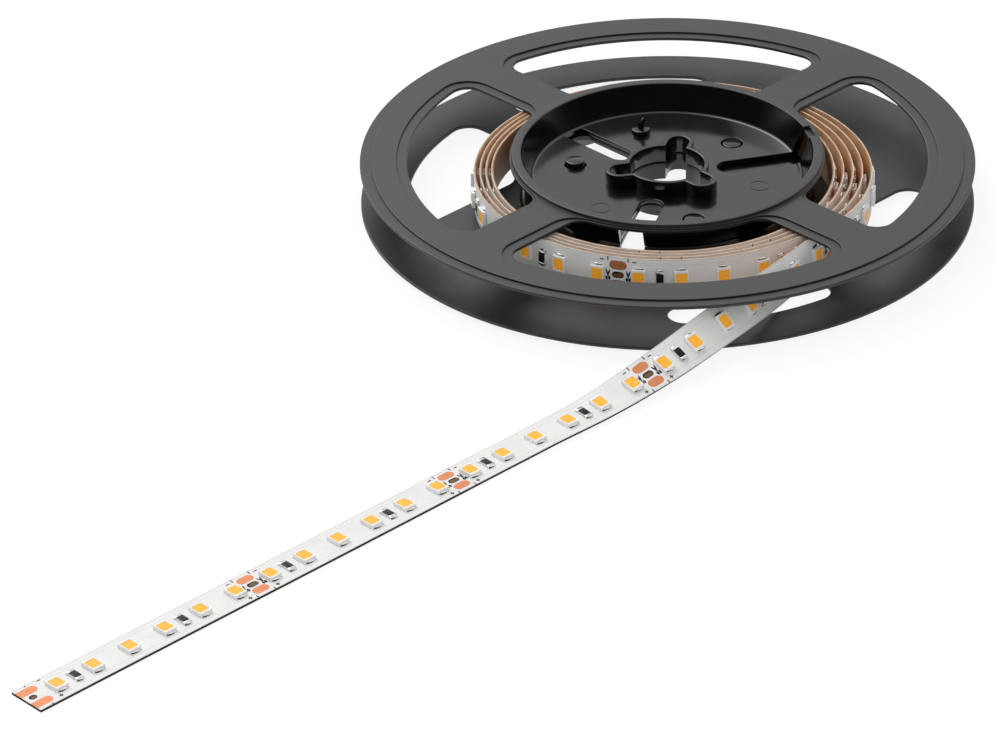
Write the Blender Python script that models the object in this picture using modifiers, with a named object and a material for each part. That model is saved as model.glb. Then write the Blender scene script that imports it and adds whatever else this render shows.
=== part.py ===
# LED strip light on a two-part moulded reel, in metres, +Z up.
# The origin is the middle of the reel's underside. The reel lies flat, and the
# strip's free end runs off its front right side and lies on the same surface.
import bpy
import bmesh
from math import asin, atan2, ceil, cos, degrees, hypot, pi, radians, sin, sqrt
from mathutils import Matrix, Vector

MM = 0.001

# Strip
STRIP_WIDTH = 8.0 * MM
STRIP_THICKNESS = 0.4 * MM     # flexible board, tape and liner
LED_PITCH = 50.0 * MM / 6
FIRST_LED = 6.9 * MM           # from the cut end
LED_SIZE = (2.8 * MM, 3.5 * MM, 0.75 * MM)
RESISTOR_SIZE = (1.6 * MM, 3.1 * MM, 0.55 * MM)

# Reel
REEL_DIAMETER = 125.0 * MM
FLANGE_CLEARANCE = 0.2 * MM    # between the wound strip and each flange
HUB_RIM_STEP = 0.75 * MM       # the hub rim stands this proud of the web
WEB_THICKNESS = 1.05 * MM
REEL_HEIGHT = STRIP_WIDTH + 2 * (FLANGE_CLEARANCE + WEB_THICKNESS + HUB_RIM_STEP)
RIM_RING_WIDTH = 2.3 * MM      # thinner band along the flange's edge
LIP_THICKNESS = 0.7 * MM       # of that band and of the lips round the windows
LIP_WIDTH = 2.1 * MM
EDGE_ROUND = 0.2 * MM
TURNED_STEPS = 60

# Hub dish
HUB_RIM_DIAMETER = 63.4 * MM
HUB_RIM_WIDTH = 2.0 * MM
DISH_TAPER = 2.0 * MM          # from the dish's mouth in to its floor
FLOOR_THICKNESS = 0.95 * MM
DRUM_WALL = 1.2 * MM
SEAT_DROP = 0.85 * MM          # where the two hub floors meet, under the reel's middle
PIECE_GAP = 0.3 * MM           # between pieces that seat on each other

# Spokes and windows
SPOKE_ANGLE = 44.2             # degrees, first of four spokes
SPOKE_WIDTH = 7.2 * MM
FLANGE_BAND = 9.6 * MM         # from the windows to the flange's edge
WINDOW_CORNER = 3.6 * MM
BRIDGE_REAR = 26.5 * MM        # half widths of the lower flange's broad bridge
BRIDGE_FRONT = 33.0 * MM

# Spindle socket
BORE_DIAMETER = 15.2 * MM
LOBE_REACH = 12.0 * MM         # from the axis to the end of a keyway lobe
LOBE_WIDTH = 4.3 * MM
LOBE_ANGLE = 73.7              # degrees, first of three
COLLAR_WALL = 0.9 * MM
COLLAR_RISE = 2.8 * MM         # above the hub floor

# Slots in the hub floor, for the strip's inner end
SLOT_ANGLE = 13.7              # degrees, first of three
SLOT_WIDTH = 5.0 * MM
SLOT_START = 10.7 * MM         # from the axis to the slot's round end
WALL_SLOTS = (0, 2)            # these two of the three run out through the drum wall
NOTCHED_SLOT = 0               # and over this one the hub rim is notched
NOTCH_WIDTH = 4.4 * MM
NOTCH_DEPTH = 1.2 * MM

# Pins that join the halves
PIN_CIRCLE = 38.6 * MM
PIN_ANGLE = 44.0               # degrees, first of six
PIN_DIAMETER = 3.9 * MM
PIN_RISE = 1.1 * MM            # of a headed pin above the floor
HOOK_HEIGHT = 2.3 * MM
HOOK_DIAMETER = 1.5 * MM

# Winding, a loose oval spiral
COIL_CENTRE = (0.2 * MM, -4.05 * MM)
COIL_SPREAD_SIDE = 9.5 * MM    # from the hub rim to the outermost turn's middle line
COIL_SPREAD_DEEP = 7.35 * MM
COIL_START = -39.0             # degrees, where the strip leaves the winding
COIL_TURNS = 4.3
TURN_STEP_SIDE = 1.9 * MM      # from strip to strip
TURN_STEP_FRONT = 1.45 * MM
TURN_STEP_REAR = 1.0 * MM
COIL_STEPS = 60                # for each turn
JOIN_RADIUS = 52.4 * MM        # the free run ends here, between the flanges

# Free run, from the cut end to the winding (x, y), with the lift of its middle
FREE_ROUTE = [
    (-118.5, -178.4, 0.0), (-92.6, -153.9, 0.0), (-66.7, -129.5, 0.0), (-40.8, -105.0, 0.05),
    (-28.4, -93.8, 0.35), (-15.9, -82.9, 1.05), (-3.6, -72.2, 3.3), (8.7, -60.6, 6.0),
    (19.0, -47.0, 5.8), (27.6, -34.6, 5.7),
]
FLOOR_CLEARANCE = 0.1 * MM
ROUTE_STEP = 4.0 * MM
TWIST_START = 123.0 * MM       # along the strip, from its cut end
TWIST_END = 226.0 * MM
FREE_LEDS = 22
SHOWN_LEDS = (46, 53)          # first and last of those on the winding that are modelled
WOUND_SHIFT = 3.3 * MM         # of the LEDs on the winding, past the board's solder joint
MARK_GROUP = 6                 # LEDs between two cut marks

# Meshing
CURVE_STEPS = 12               # between two points of the free route
ROUND_STEP = 15                # degrees, on small round ends
PIN_SIDES = 20
HOOK_SIDES = 12
SHARP_ANGLE = 40.0             # degrees, edges that stay sharp in smooth shading
WELD_DISTANCE = 0.01 * MM
PROBE_SPAN = 0.5 * MM          # each way, to read the strip's direction

# Worked out from the above
REEL_RADIUS = REEL_DIAMETER / 2
RIM_TOP = REEL_HEIGHT
WEB_TOP = RIM_TOP - HUB_RIM_STEP
WEB_UNDER = WEB_TOP - WEB_THICKNESS
LIP_TOP = WEB_UNDER + LIP_THICKNESS
MIDDLE = REEL_HEIGHT / 2
SEAT_HEIGHT = MIDDLE - SEAT_DROP
FLOOR_UNDER = SEAT_HEIGHT + PIECE_GAP / 2
FLOOR_TOP = FLOOR_UNDER + FLOOR_THICKNESS
LOWER_FLOOR_TOP = SEAT_HEIGHT - PIECE_GAP / 2
LOWER_FLOOR_UNDER = LOWER_FLOOR_TOP - FLOOR_THICKNESS
RIM_RADIUS = HUB_RIM_DIAMETER / 2
DISH_MOUTH = RIM_RADIUS - HUB_RIM_WIDTH
DISH_FLOOR = DISH_MOUTH - DISH_TAPER
RECESS_INNER = RIM_RADIUS + EDGE_ROUND
WINDOW_INNER = RIM_RADIUS + 2 * EDGE_ROUND
WINDOW_OUTER = REEL_RADIUS - FLANGE_BAND
COIL_HALF_WIDTH = RIM_RADIUS + COIL_SPREAD_SIDE
COIL_HALF_DEPTH = RIM_RADIUS + COIL_SPREAD_DEEP
CUT_MARGIN = 1.0 * MM
ARC_STEP = 6.0                 # degrees, on window arcs


def clear_scene():
    for obj in list(bpy.data.objects):
        bpy.data.objects.remove(obj, do_unlink=True)
    for coll in list(bpy.data.collections):
        bpy.data.collections.remove(coll)


def new_collection(name):
    coll = bpy.data.collections.new(name)
    bpy.context.scene.collection.children.link(coll)
    return coll


def plastic(name, colour, roughness, metallic=0.0):
    mat = bpy.data.materials.new(name)
    mat.use_nodes = True
    shader = mat.node_tree.nodes["Principled BSDF"]
    shader.inputs["Base Color"].default_value = (*colour, 1.0)
    shader.inputs["Roughness"].default_value = roughness
    shader.inputs["Metallic"].default_value = metallic
    return mat


def add_object(name, mesh, coll, mat=None):
    obj = bpy.data.objects.new(name, mesh)
    coll.objects.link(obj)
    if mat:
        obj.data.materials.append(mat)
    return obj


def hide_cutter(obj):
    obj.hide_render = True
    obj.display_type = "WIRE"
    return obj


def shade_round(obj):
    """Applies the modifiers, then shades round sides smooth."""
    mesh = bpy.data.meshes.new_from_object(obj.evaluated_get(bpy.context.evaluated_depsgraph_get()))
    obj.modifiers.clear()
    obj.data = mesh
    mesh.shade_smooth()
    mesh.set_sharp_from_angle(angle=radians(SHARP_ANGLE))


def boolean(obj, other, operation):
    mod = obj.modifiers.new(operation.lower(), "BOOLEAN")
    mod.operation = operation
    mod.object = other
    mod.solver = "EXACT"


def prism(name, outline, bottom, top, coll):
    """A flat outline made solid between two heights."""
    curve = bpy.data.curves.new(name, "CURVE")
    curve.dimensions = "2D"
    curve.fill_mode = "BOTH"
    curve.extrude = (top - bottom) / 2
    spline = curve.splines.new("POLY")
    spline.points.add(len(outline) - 1)
    for point, (x, y) in zip(spline.points, outline):
        point.co = (x, y, 0.0, 1.0)
    spline.use_cyclic_u = True
    flat = bpy.data.objects.new(name + "_outline", curve)
    coll.objects.link(flat)
    mesh = bpy.data.meshes.new_from_object(flat.evaluated_get(bpy.context.evaluated_depsgraph_get()))
    bpy.data.objects.remove(flat, do_unlink=True)
    bm = bmesh.new()
    bm.from_mesh(mesh)
    bmesh.ops.remove_doubles(bm, verts=bm.verts, dist=WELD_DISTANCE)
    bm.to_mesh(mesh)
    bm.free()
    obj = add_object(name, mesh, coll)
    obj.location.z = (bottom + top) / 2
    return obj


def turned(name, profile, coll, mat=None):
    """A closed profile of (radius, height), down its outer side, turned about Z."""
    mesh = bpy.data.meshes.new(name)
    verts = [(r, 0.0, z) for r, z in profile]
    edges = [(i, (i + 1) % len(verts)) for i in range(len(verts))]
    mesh.from_pydata(verts, edges, [])
    obj = add_object(name, mesh, coll, mat)
    mod = obj.modifiers.new("turn", "SCREW")
    mod.axis = "Z"
    mod.angle = 2 * pi
    mod.steps = TURNED_STEPS
    mod.render_steps = TURNED_STEPS
    mod.use_merge_vertices = True
    mod.merge_threshold = 0.00001
    mod.use_smooth_shade = False
    return obj


def arc(centre, radius, start, end, step=ARC_STEP):
    """Points of an arc, both ends included, in degrees."""
    count = max(1, int(ceil(abs(end - start) / step)))
    points = []
    for i in range(count + 1):
        a = radians(start + (end - start) * i / count)
        points.append((centre[0] + radius * cos(a), centre[1] + radius * sin(a)))
    return points


def rotated(points, angle):
    c, s = cos(radians(angle)), sin(radians(angle))
    return [(c * x - s * y, s * x + c * y) for x, y in points]


def window_outline(side_x, side_y, inner, outer, corner):
    """A window in the quarter x > side_x, y > side_y between two radii."""
    def on_circle(radius, known):
        return sqrt(radius * radius - known * known)

    first = (on_circle(outer - corner, side_y + corner), side_y + corner)
    second = (side_x + corner, on_circle(outer - corner, side_x + corner))
    turn1 = degrees(atan2(first[1], first[0]))
    turn2 = degrees(atan2(second[1], second[0]))
    points = arc(first, corner, -90, turn1, ROUND_STEP)
    points += arc((0, 0), outer, turn1, turn2)[1:-1]
    points += arc(second, corner, turn2, 180, ROUND_STEP)
    if hypot(side_x + corner, side_y + corner) >= inner + corner:
        points += arc((side_x + corner, side_y + corner), corner, 180, 270, ROUND_STEP)
        return points
    third = (side_x + corner, on_circle(inner + corner, side_x + corner))
    fourth = (on_circle(inner + corner, side_y + corner), side_y + corner)
    turn3 = degrees(atan2(third[1], third[0]))
    turn4 = degrees(atan2(fourth[1], fourth[0]))
    points += arc(third, corner, 180, turn3 + 180, ROUND_STEP)
    points += arc((0, 0), inner, turn3, turn4)[1:-1]
    points += arc(fourth, corner, turn4 + 180, 270, ROUND_STEP)
    return points


def obround(start, end, width, angle):
    """A slot outline along the X axis from start to end, turned by an angle."""
    half = width / 2
    points = arc((end - half, 0), half, -90, 90, ROUND_STEP)
    points += arc((start + half, 0), half, 90, 270, ROUND_STEP)
    return rotated(points, angle)


def keyed_outline(radius, reach, width):
    """A circle with three round-ended lobes."""
    half = width / 2
    edge = degrees(asin(half / radius))
    points = []
    for i in range(3):
        lobe = arc((0, 0), radius, edge - 120, -edge)[:-1]
        lobe.append((radius * cos(radians(edge)), -half))
        lobe += arc((reach - half, 0), half, -90, 90, ROUND_STEP)
        points += rotated(lobe, LOBE_ANGLE + 120 * i)
        points += rotated([(radius * cos(radians(edge)), half)], LOBE_ANGLE + 120 * i)
    return points


def disc(name, radius, centre, bottom, top, coll, sides=PIN_SIDES):
    bm = bmesh.new()
    place = Matrix.Translation((centre[0], centre[1], (bottom + top) / 2))
    bmesh.ops.create_cone(bm, cap_ends=True, segments=sides, radius1=radius, radius2=radius,
                          depth=top - bottom, matrix=place)
    mesh = bpy.data.meshes.new(name)
    bm.to_mesh(mesh)
    bm.free()
    return add_object(name, mesh, coll)


def half_profile(floor_top, floor_under):
    """Section of a reel half, as the upper one lies, from the bore outwards."""
    start = BORE_DIAMETER / 3
    ring = REEL_RADIUS - RIM_RING_WIDTH
    slope = DISH_TAPER / (RIM_TOP - floor_top)
    drum_top = DISH_MOUTH - slope * (RIM_TOP - WEB_UNDER) + DRUM_WALL
    drum_foot = DISH_FLOOR + DRUM_WALL - slope * (floor_top - floor_under)
    fillet = 2 * EDGE_ROUND
    return [
        (start, floor_top), (DISH_FLOOR - fillet, floor_top),
        (DISH_FLOOR + slope * fillet, floor_top + fillet),
        (DISH_MOUTH, RIM_TOP - EDGE_ROUND), (DISH_MOUTH + EDGE_ROUND, RIM_TOP),
        (RIM_RADIUS - EDGE_ROUND, RIM_TOP), (RIM_RADIUS, RIM_TOP - EDGE_ROUND),
        (RIM_RADIUS + EDGE_ROUND / 2, WEB_TOP),
        (ring - EDGE_ROUND, WEB_TOP), (ring, WEB_TOP - EDGE_ROUND), (ring, LIP_TOP),
        (REEL_RADIUS - EDGE_ROUND, LIP_TOP), (REEL_RADIUS, LIP_TOP - EDGE_ROUND),
        (REEL_RADIUS, WEB_UNDER + EDGE_ROUND), (REEL_RADIUS - EDGE_ROUND, WEB_UNDER),
        (drum_top, WEB_UNDER), (drum_foot, floor_under), (start, floor_under),
    ]


def window_sides(lower):
    """For each quarter, its start angle and the distances of its two sides."""
    spoke = SPOKE_WIDTH / 2
    sides = []
    for i in range(4):
        if not lower:
            sides.append((SPOKE_ANGLE + 90 * i, spoke, spoke))
            continue
        bridge = (BRIDGE_REAR if i < 2 else BRIDGE_FRONT) - LIP_WIDTH
        side_y = bridge if i % 2 == 0 else spoke
        side_x = spoke if i % 2 == 0 else bridge
        sides.append((SPOKE_ANGLE + 90 * i, side_x, side_y))
    return sides


def cut_windows(half, name, lower, cutters, flip):
    for i, (angle, side_x, side_y) in enumerate(window_sides(lower)):
        hole = window_outline(side_x + LIP_WIDTH, side_y + LIP_WIDTH, WINDOW_INNER, WINDOW_OUTER,
                              WINDOW_CORNER)
        recess = window_outline(side_x, side_y, RECESS_INNER, WINDOW_OUTER + LIP_WIDTH,
                                WINDOW_CORNER + LIP_WIDTH)
        for part, outline, bottom, top in (
                ("hole", hole, WEB_UNDER - CUT_MARGIN, LIP_TOP + EDGE_ROUND),
                ("recess", recess, LIP_TOP, RIM_TOP + CUT_MARGIN)):
            low, high = sorted((flip(bottom), flip(top)))
            cutter = prism(f"{name}_{part}_{i + 1}", rotated(outline, angle), low, high, cutters)
            boolean(half, hide_cutter(cutter), "DIFFERENCE")


def shape_hub(half, name, cutters, floor_top, floor_under, flip):
    """Collar, bore and slots of one half, given as the upper one lies."""
    def block(part, outline, bottom, top):
        low, high = sorted((flip(bottom), flip(top)))
        return hide_cutter(prism(f"{name}_{part}", outline, low, high, cutters))

    collar_top = floor_top + COLLAR_RISE
    wall = keyed_outline(BORE_DIAMETER / 2 + COLLAR_WALL, LOBE_REACH + COLLAR_WALL,
                         LOBE_WIDTH + 2 * COLLAR_WALL)
    bore = keyed_outline(BORE_DIAMETER / 2, LOBE_REACH, LOBE_WIDTH)
    boolean(half, block("collar", wall, (floor_top + floor_under) / 2, collar_top), "UNION")
    boolean(half, block("bore", bore, floor_under - CUT_MARGIN, collar_top + CUT_MARGIN),
            "DIFFERENCE")
    notch_start = SLOT_START + SLOT_WIDTH
    notch_end = DISH_MOUTH + NOTCH_DEPTH
    side = NOTCH_WIDTH / 2
    for i in range(3):
        angle = SLOT_ANGLE + 120 * i
        slot_end = DISH_FLOOR - DRUM_WALL
        if i in WALL_SLOTS:
            slot_end = RIM_RADIUS + SLOT_WIDTH
        through = obround(SLOT_START, slot_end, SLOT_WIDTH, angle)
        boolean(half, block(f"slot_{i + 1}", through, floor_under - CUT_MARGIN,
                            WEB_UNDER - PIECE_GAP), "DIFFERENCE")
    notch = rotated([(notch_start, -side), (notch_end, -side), (notch_end, side),
                     (notch_start, side)], SLOT_ANGLE + 120 * NOTCHED_SLOT)
    boolean(half, block("notch", notch, WEB_UNDER - 2 * PIECE_GAP, RIM_TOP + CUT_MARGIN),
            "DIFFERENCE")


def pin_place(i):
    a = radians(PIN_ANGLE + 60 * i)
    return (PIN_CIRCLE / 2 * cos(a), PIN_CIRCLE / 2 * sin(a))


def add_pins(upper, lower, cutters):
    """Three pins of each half pass through holes in the other half's floor."""
    hole_radius = PIN_DIAMETER / 2 + PIECE_GAP
    radius = PIN_DIAMETER / 2
    for i in range(6):
        centre = pin_place(i)
        from_lower = i % 2 == 0
        if from_lower:
            hole = disc(f"pin_hole_{i + 1}", hole_radius, centre, FLOOR_UNDER - CUT_MARGIN,
                        FLOOR_TOP + CUT_MARGIN, cutters)
            boolean(upper, hide_cutter(hole), "DIFFERENCE")
            head = FLOOR_TOP + (PIN_RISE if i == 2 else 0.0)
            pin = disc(f"pin_{i + 1}", radius, centre, LOWER_FLOOR_TOP - FLOOR_THICKNESS / 2, head,
                       cutters)
            boolean(lower, hide_cutter(pin), "UNION")
        else:
            hole = disc(f"pin_hole_{i + 1}", hole_radius, centre, LOWER_FLOOR_UNDER - CUT_MARGIN,
                        LOWER_FLOOR_TOP + PIECE_GAP / 2, cutters)
            boolean(lower, hide_cutter(hole), "DIFFERENCE")
            pin = disc(f"pin_{i + 1}", radius, centre, LOWER_FLOOR_UNDER,
                       FLOOR_UNDER + FLOOR_THICKNESS / 2, cutters)
            boolean(upper, hide_cutter(pin), "UNION")
    centre = pin_place(1)
    boss = disc("hook_boss", radius, centre, FLOOR_UNDER + FLOOR_THICKNESS / 3,
                FLOOR_TOP + PIN_RISE, cutters)
    boolean(upper, hide_cutter(boss), "UNION")
    hook = disc("hook", HOOK_DIAMETER / 2, centre, FLOOR_TOP + PIN_RISE / 2,
                FLOOR_TOP + PIN_RISE + HOOK_HEIGHT, cutters, HOOK_SIDES)
    boolean(upper, hide_cutter(hook), "UNION")


def make_reel(parts, cutters, black):
    upper_profile = half_profile(FLOOR_TOP, FLOOR_UNDER)
    upper = turned("upper_reel_half", upper_profile, parts, black)
    cut_windows(upper, "upper", False, cutters, lambda z: z)
    shape_hub(upper, "upper", cutters, FLOOR_TOP, FLOOR_UNDER, lambda z: z)

    def mirrored(z):
        return REEL_HEIGHT - z

    floor_top = mirrored(LOWER_FLOOR_UNDER)
    floor_under = mirrored(LOWER_FLOOR_TOP)
    lower_profile = [(r, mirrored(z)) for r, z in half_profile(floor_top, floor_under)]
    lower = turned("lower_reel_half", lower_profile[::-1], parts, black)
    cut_windows(lower, "lower", True, cutters, mirrored)
    shape_hub(lower, "lower", cutters, floor_top, floor_under, mirrored)
    add_pins(upper, lower, cutters)
    for half in (upper, lower):
        shade_round(half)


def route_points():
    """Middle line of the whole strip: the free run, then the winding's turns."""
    rest = FLOOR_CLEARANCE + STRIP_THICKNESS / 2
    keys = [Vector((x * MM, y * MM, z * MM + rest)) for x, y, z in FREE_ROUTE]
    coil = coil_points()
    keys += coil[:2]
    line = []
    for i in range(len(keys) - 2):
        before = keys[i - 1] if i else keys[0] * 2 - keys[1]
        line += curve_piece(before, keys[i], keys[i + 1], keys[i + 2])
    return line + coil


def curve_piece(before, start, end, after):
    """Points of a smooth curve from start up to, not including, end."""
    points = []
    for k in range(CURVE_STEPS):
        t = k / CURVE_STEPS
        bend = (before * -1 + start * 3 - end * 3 + after) * t ** 3
        bow = (before * 2 - start * 5 + end * 4 - after) * t ** 2
        points.append(start + ((end - before) * t + bow + bend) / 2)
    return points


def coil_points():
    """The winding from where the strip leaves it, inwards."""
    points = []
    for k in range(int(COIL_TURNS * COIL_STEPS) + 1):
        turns = k / COIL_STEPS
        a = radians(COIL_START) + 2 * pi * turns
        half_width = COIL_HALF_WIDTH - TURN_STEP_SIDE * turns
        half_depth = COIL_HALF_DEPTH - (TURN_STEP_FRONT + TURN_STEP_REAR) / 2 * turns
        middle = COIL_CENTRE[1] + (TURN_STEP_FRONT - TURN_STEP_REAR) / 2 * turns
        points.append(Vector((COIL_CENTRE[0] + half_width * cos(a), middle + half_depth * sin(a), MIDDLE)))
    return points


class Route:
    """A line of points, read by the distance along it."""

    def __init__(self, points):
        self.points = points
        self.along = [0.0]
        for a, b in zip(points, points[1:]):
            self.along.append(self.along[-1] + (b - a).length)
        self.length = self.along[-1]

    def place(self, s):
        low, high = 0, len(self.along) - 1
        while high - low > 1:
            mid = (low + high) // 2
            if self.along[mid] <= s:
                low = mid
            else:
                high = mid
        share = (s - self.along[low]) / (self.along[high] - self.along[low])
        return self.points[low].lerp(self.points[high], share)

    def frame(self, s):
        """Point, direction, width direction and outward side of the strip."""
        back = max(s - PROBE_SPAN, 0.0)
        ahead = min(s + PROBE_SPAN, self.length)
        point = self.place(s)
        run = (self.place(ahead) - self.place(back)).normalized()
        left = Vector((0, 0, 1)).cross(run).normalized()
        rise = run.cross(left)
        share = min(max((s - TWIST_START) / (TWIST_END - TWIST_START), 0.0), 1.0)
        turn = pi / 2 * share * share * (3 - 2 * share)
        across = left * cos(turn) + rise * sin(turn)
        outward = rise * cos(turn) - left * sin(turn)
        return point, run, across, outward

    def where_radius(self, radius):
        """Distance along the line at which it first comes this near the axis."""
        for point, s in zip(self.points, self.along):
            if hypot(point.x, point.y) <= radius:
                return s
        return self.length


def ribbon(name, route, distances, parts, mat):
    bm = bmesh.new()
    row = None
    for s in distances:
        point, _, across, _ = route.frame(s)
        pair = [bm.verts.new(point - across * STRIP_WIDTH / 2),
                bm.verts.new(point + across * STRIP_WIDTH / 2)]
        if row:
            bm.faces.new((row[0], pair[0], pair[1], row[1]))
        row = pair
    mesh = bpy.data.meshes.new(name)
    bm.to_mesh(mesh)
    bm.free()
    obj = add_object(name, mesh, parts, mat)
    mod = obj.modifiers.new("thickness", "SOLIDIFY")
    mod.thickness = STRIP_THICKNESS
    mod.offset = 0.0
    return obj


def spaced(start, end, step):
    count = max(1, int(round((end - start) / step)))
    return [start + (end - start) * i / count for i in range(count + 1)]


def seated_block(name, route, s, size, parts, mat):
    """A small box that lies on the strip's outward face at a distance along it."""
    point, run, across, outward = route.frame(s)
    height = size[2] - PIECE_GAP
    centre = point + outward * (STRIP_THICKNESS / 2 + PIECE_GAP + height / 2)
    bm = bmesh.new()
    bmesh.ops.create_cube(bm, size=1.0, matrix=Matrix.Diagonal((size[0], size[1], height, 1.0)))
    mesh = bpy.data.meshes.new(name)
    bm.to_mesh(mesh)
    bm.free()
    obj = add_object(name, mesh, parts, mat)
    turn = Matrix((run, across, outward)).transposed().to_4x4()
    obj.matrix_world = Matrix.Translation(centre) @ turn
    return obj


def make_strip(parts, board, lens, dark):
    route = Route(route_points())
    join = route.where_radius(JOIN_RADIUS)
    ribbon("free_strip", route, spaced(0.0, join - PIECE_GAP / 2, ROUTE_STEP), parts, board)
    coil_step = 2 * pi * COIL_HALF_WIDTH / COIL_STEPS
    ribbon("wound_strip", route, spaced(join + PIECE_GAP / 2, route.length, coil_step), parts, board)
    shown = list(range(1, FREE_LEDS + 1)) + list(range(SHOWN_LEDS[0], SHOWN_LEDS[1] + 1))
    for number in shown:
        shift = WOUND_SHIFT if number > FREE_LEDS else 0.0
        s = FIRST_LED + LED_PITCH * (number - 1) + shift
        seated_block(f"led_{number:02d}", route, s, LED_SIZE, parts, lens)
    count = 0
    for i in range(FREE_LEDS):
        if i % MARK_GROUP in (0, MARK_GROUP // 2):
            count += 1
            s = FIRST_LED + LED_PITCH * (i + 0.5)
            seated_block(f"resistor_{count:02d}", route, s, RESISTOR_SIZE, parts, dark)


def main():
    clear_scene()
    parts = new_collection("led_strip_light_reel")
    cutters = new_collection("reel_cutters")
    black = plastic("black_polystyrene", (0.055, 0.058, 0.06), 0.45)
    board = plastic("white_solder_mask", (0.84, 0.84, 0.82), 0.5)
    lens = plastic("led_package", (0.95, 0.62, 0.12), 0.4)
    dark = plastic("resistor_body", (0.02, 0.02, 0.02), 0.35)
    make_reel(parts, cutters, black)
    make_strip(parts, board, lens, dark)


main()
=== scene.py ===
from math import asin, atan2, ceil, cos, degrees, hypot, pi, radians, sin, sqrt

import bmesh
import bpy
from mathutils import Matrix, Vector


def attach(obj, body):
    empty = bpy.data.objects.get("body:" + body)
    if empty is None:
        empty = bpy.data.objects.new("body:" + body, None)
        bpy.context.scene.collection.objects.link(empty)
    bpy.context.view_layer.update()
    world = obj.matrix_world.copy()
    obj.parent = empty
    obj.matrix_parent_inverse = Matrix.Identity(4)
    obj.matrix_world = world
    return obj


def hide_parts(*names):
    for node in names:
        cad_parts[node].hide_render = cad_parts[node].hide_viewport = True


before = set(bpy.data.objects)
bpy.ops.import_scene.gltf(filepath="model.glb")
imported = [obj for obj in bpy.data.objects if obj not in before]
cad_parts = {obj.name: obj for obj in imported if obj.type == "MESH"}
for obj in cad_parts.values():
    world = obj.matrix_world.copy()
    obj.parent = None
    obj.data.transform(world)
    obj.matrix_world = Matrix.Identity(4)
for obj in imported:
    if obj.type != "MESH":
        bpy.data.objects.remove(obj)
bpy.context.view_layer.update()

# An LED strip light wound on a black moulded reel, its free end lying beside it.
# Lengths in the dictionaries are in millimetres and angles in degrees; the scene itself is in metres.
mm = 0.001
scene = bpy.context.scene
scene.view_settings.view_transform = "Standard"

camera = {"place": (-35.28, -918.0, 499.16), "pitch": 30.326, "roll": -1.104, "lens": 184.85, "sensor": 36.0,
          "sight": 20000.0}


def makeCamera():
    data = bpy.data.cameras.new("studioCamera")
    data.sensor_width = camera["sensor"]
    data.lens = camera["lens"]
    data.clip_end = camera["sight"] * mm
    obj = bpy.data.objects.new("studioCamera", data)
    scene.collection.objects.link(obj)
    p, q = radians(camera["pitch"]), radians(camera["roll"])
    look = Vector((0, cos(p), -sin(p)))
    level, rise = Vector((1, 0, 0)), Vector((0, sin(p), cos(p)))
    right = level * cos(q) + rise * sin(q)
    up = rise * cos(q) - level * sin(q)
    turn = Matrix((right, up, -look)).transposed().to_4x4()
    obj.matrix_world = Matrix.Translation(Vector(camera["place"]) * mm) @ turn
    scene.camera = obj


makeCamera()
print("camera placed")

# The strip's route. Its free points are the CAD source's, and so is the winding at the right and the rear.
# At the left and the front its turns lie a little closer together.
route = {
    "free": [(-118.5, -178.4, 0.0), (-92.6, -153.9, 0.0), (-66.7, -129.5, 0.0), (-40.8, -105.0, 0.05),
             (-28.4, -93.8, 0.35), (-15.9, -82.9, 1.05), (-3.6, -72.2, 3.3), (8.7, -60.6, 6.0),
             (19.0, -47.0, 5.8), (27.6, -34.6, 5.7)],
    "restHeight": 0.3,                     # middle of the strip above the floor
    "coilCentre": (0.2, -4.05), "coilHalf": (41.2, 39.05), "coilStart": -39.0, "coilTurns": 4.3,
    "coilMiddle": 6.0, "leftHalf": 40.1,
    "rightStep": 1.9, "leftStep": 1.2, "frontStep": 1.15, "rearStep": 1.0,
    "coilSteps": 240, "cadSteps": 60, "curveSteps": 40,
    "twist": (123.0, 226.0), "joinRadius": 52.4, "tangentReach": 0.5, "cordSteps": 48,
}
strip = {
    "width": 8.0, "thickness": 0.4, "step": 1.0, "columns": 8,
    "swell": 0.25, "swellEnds": (100.0, 140.0),                # the tape is thicker on the flat free end
    "firstLed": 6.9, "pitch": 50.0 / 6, "shiftAfter": 25, "shift": 2.35,
    "freeLeds": 22, "shownLeds": (46, 53), "windingTail": 3.0,
    "freeMarks": (6, 12, 18), "marksFrom": 31, "markEvery": 6, "markRoom": 4.0, "resistorEvery": 3,
}


def coilPoints():
    points = []
    for k in range(int(route["coilTurns"] * route["coilSteps"]) + 1):
        turns = k / route["coilSteps"]
        a = radians(route["coilStart"]) + 2 * pi * turns
        wide = route["coilHalf"][0] - route["rightStep"] * turns
        if cos(a) < 0:
            wide = route["leftHalf"] - route["leftStep"] * turns
        deep = route["coilHalf"][1] - (route["frontStep"] + route["rearStep"]) / 2 * turns
        y = route["coilCentre"][1] + (route["frontStep"] - route["rearStep"]) / 2 * turns
        x = route["coilCentre"][0] + wide * cos(a)
        points.append(Vector((x, y + deep * sin(a), route["coilMiddle"])))
    return points


def curvePiece(before, start, end, after):
    # one stretch of a smooth curve through its own points
    points = []
    for k in range(route["curveSteps"]):
        t = k / route["curveSteps"]
        bend = (before * -1 + start * 3 - end * 3 + after) * t ** 3
        bow = (before * 2 - start * 5 + end * 4 - after) * t ** 2
        points.append(start + ((end - before) * t + bow + bend) / 2)
    return points


def routePoints():
    keys = [Vector((x, y, z + route["restHeight"])) for x, y, z in route["free"]]
    coil = coilPoints()
    skip = route["coilSteps"] // route["cadSteps"]     # the CAD's second coil point guides the last bend
    keys += [coil[0], coil[skip]]
    points = []
    for i in range(len(keys) - 2):
        before = keys[i - 1] if i else keys[0] * 2 - keys[1]
        points += curvePiece(before, keys[i], keys[i + 1], keys[i + 2])
    return points + coil


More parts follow.
